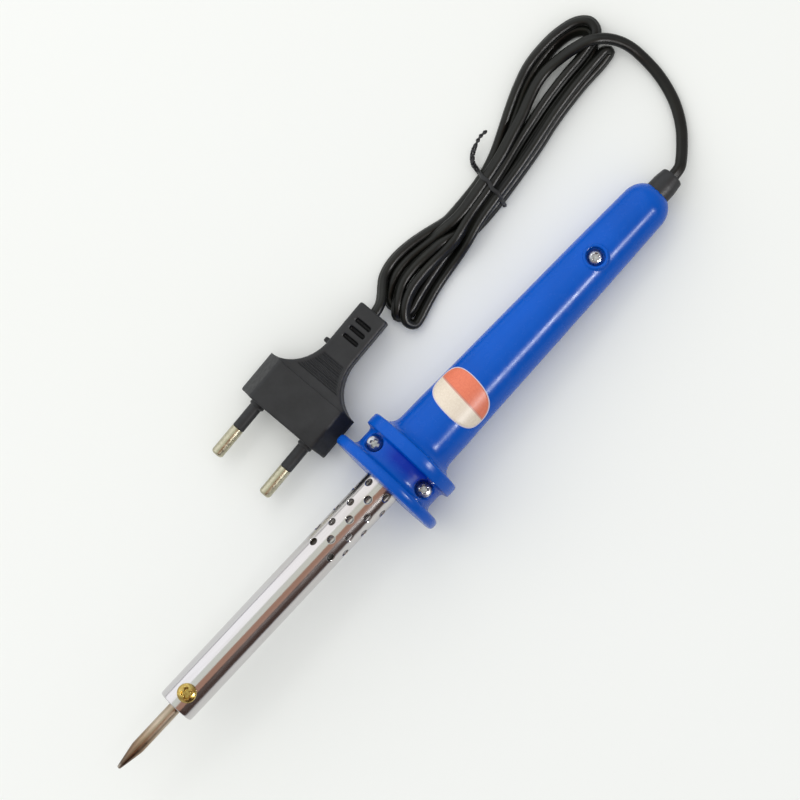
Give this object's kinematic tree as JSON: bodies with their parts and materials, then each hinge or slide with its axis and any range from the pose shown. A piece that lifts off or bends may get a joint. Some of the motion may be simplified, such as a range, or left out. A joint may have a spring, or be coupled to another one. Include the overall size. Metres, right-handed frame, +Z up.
{
  "type": "soldering iron",
  "caption": "Pencil soldering iron with perforated metal barrel, double-flanged two-shell handle, tied mains lead and flat two-pin plug.",
  "frame": {"origin": "Middle of the iron in plan, on the plane it lies on; the lead, its hank and the plug are left out of that middle.", "axes": "+X along the iron from tip to lead, +Z up, +Y towards the side where the tied lead and the plug lie."},
  "size_m": [0.2657, 0.0787, 0.035],
  "materials": {
    "blue_plastic": "moulded, glossy",
    "zinc_plate": "bright zinc plated steel",
    "label_film": "printed film, satin",
    "chrome_plate": "polished plating, faintly streaked",
    "brass_part": "plain turned brass or yellow zinc",
    "tip_metal": "plated copper, heat tarnished",
    "ceramic_part": "unglazed white",
    "mica_sheet": "silvery brown sheet",
    "resistance_wire": "drawn wire",
    "fibre_sleeve": "woven glass fibre",
    "tinned_metal": "tinned",
    "core_brown": "extruded insulation",
    "core_blue": "extruded insulation",
    "black_pvc": "moulded flexible plastic",
    "nickel_plate": "nickel plated brass"
  },
  "bodies": {
    "iron": {"handle_top_shell": "blue_plastic", "handle_bottom_shell": "blue_plastic", "shell_screw_rear": "zinc_plate", "shell_screw_left": "zinc_plate", "shell_screw_right": "zinc_plate", "rating_label": "label_film", "barrel_tube": "chrome_plate", "barrel_collar": "zinc_plate", "tip_bush": "brass_part", "element_former": "ceramic_part", "mica_wrap": "mica_sheet", "heating_coil": "resistance_wire", "lead_insulator": "ceramic_part", "lead_wire_live": "resistance_wire", "lead_wire_neutral": "resistance_wire", "lead_sleeve_live": "fibre_sleeve", "lead_sleeve_neutral": "fibre_sleeve", "crimp_live": "tinned_metal", "crimp_neutral": "tinned_metal", "cord_core_live": "core_brown", "cord_core_neutral": "core_blue", "cord_sheath": "black_pvc", "cord_crimp_ring": "zinc_plate", "cord_grommet": "black_pvc", "cord_free": "black_pvc", "cord_hank": "black_pvc", "twist_tie": "black_pvc", "plug_body": "black_pvc", "plug_pin_left": "nickel_plate", "plug_pin_right": "nickel_plate", "pin_sleeve_left": "black_pvc", "pin_sleeve_right": "black_pvc"},
    "tip": {"soldering_tip": "tip_metal"},
    "clamp_screw": {"tip_screw": "brass_part"}
  },
  "joints": [
    {"name": "tip_slide", "type": "slide", "parent": "iron", "child": "tip", "axis": [-0.9975, 0, 0.0705], "range_m": [0, 0.045]},
    {"name": "tip_screw_turn", "type": "hinge", "parent": "iron", "child": "clamp_screw", "pos_m": [-0.08998, 0, 0.02777], "axis": [0.0705, 0, 0.9975], "range_deg": [0, 1080]}
  ]
}
